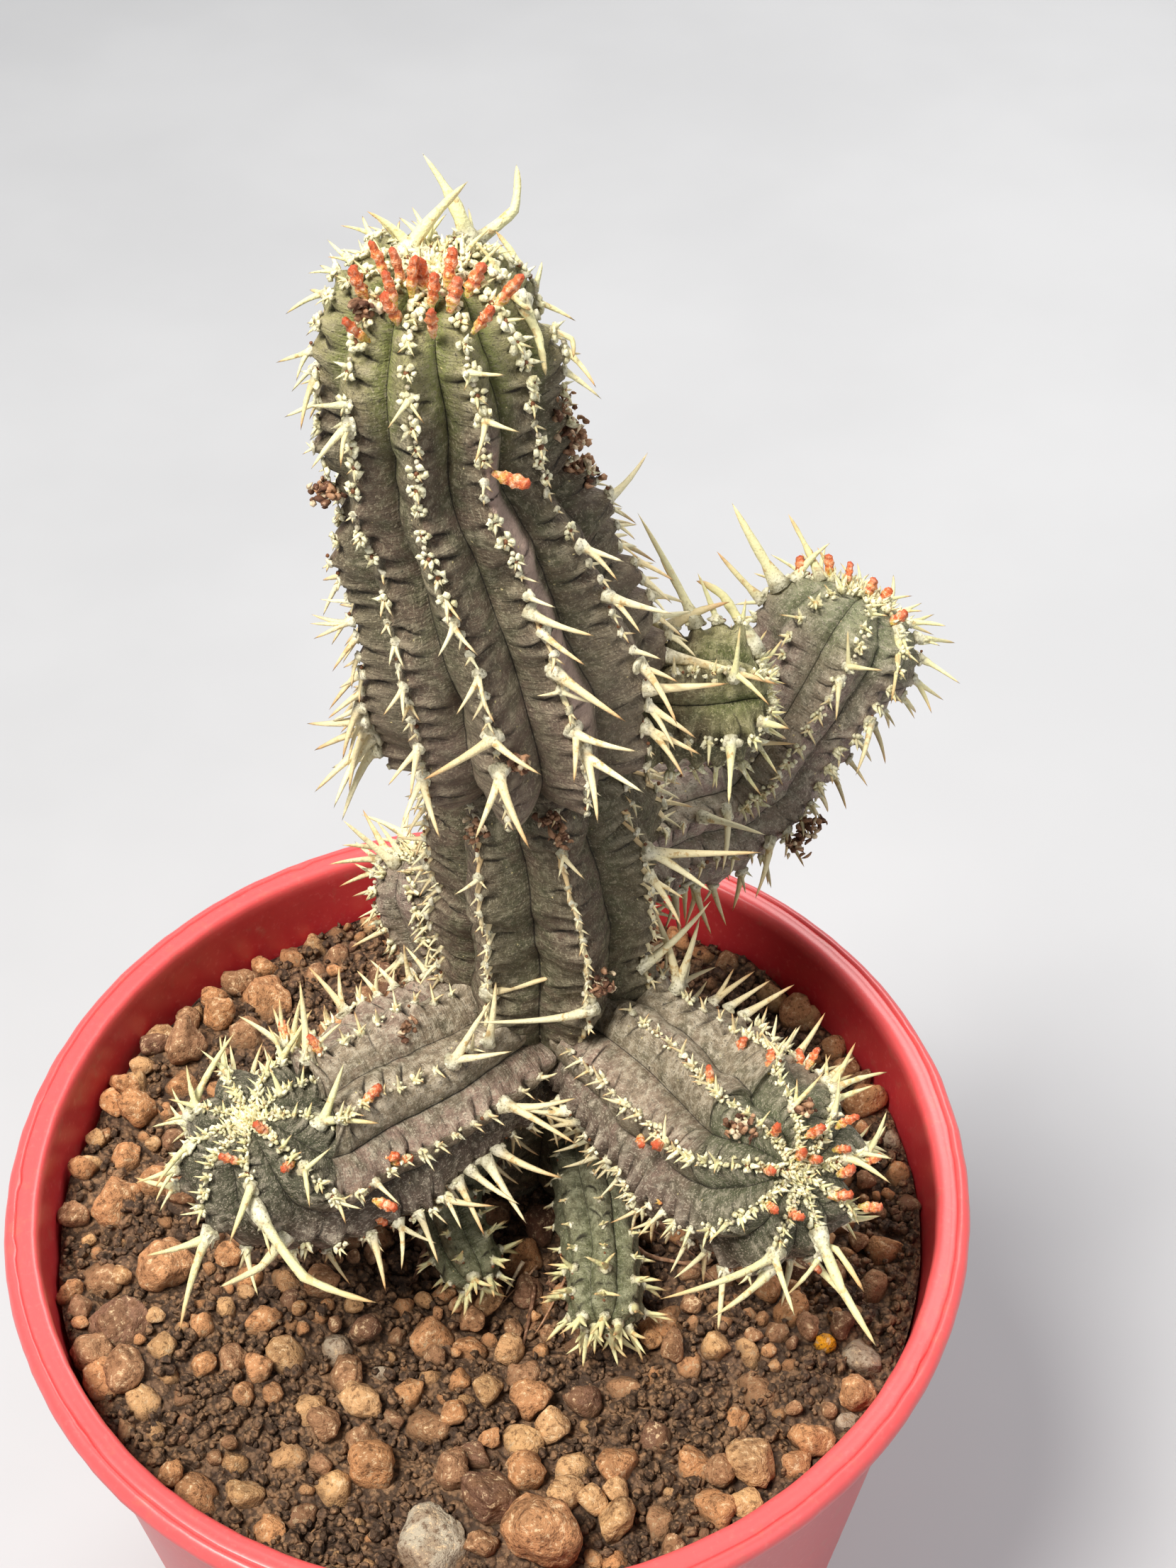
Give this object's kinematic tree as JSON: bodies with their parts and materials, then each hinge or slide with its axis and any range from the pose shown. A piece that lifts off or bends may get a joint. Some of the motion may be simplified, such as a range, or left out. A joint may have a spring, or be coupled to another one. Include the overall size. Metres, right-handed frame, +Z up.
{
  "type": "potted euphorbia",
  "caption": "Ribbed, spiny succulent euphorbia with low side branches, young shoots and orange flower heads, in a tapered round plastic pot of gravelly soil.",
  "frame": {"origin": "centre of the pot's underside, on the surface that it stands on", "axes": "+Z up along the pot's axis, -Y towards the plant's front, +X to its right"},
  "size_m": [0.1132, 0.11, 0.2165],
  "materials": {
    "pot": "dusty coral-red moulded plastic, satin",
    "soil": "brown crumb soil under orange-tan rounded gravel",
    "stem": "dull grey-green to purple-brown waxy skin, wrinkled",
    "young_stem": "paler green waxy skin",
    "spine": "cream to pale yellow dry spines, chalky at the base",
    "flower_head": "orange-red waxy bracts on yellow stalks"
  },
  "bodies": {
    "root": {"pot": "pot", "soil": "soil", "main_stem": "stem", "left_branch": "stem", "right_branch": "stem", "back_right_branch": "stem", "back_left_branch": "stem", "side_bud": "young_stem", "young_offset_left": "young_stem", "young_offset_right": "young_stem"}
  },
  "joints": []
}
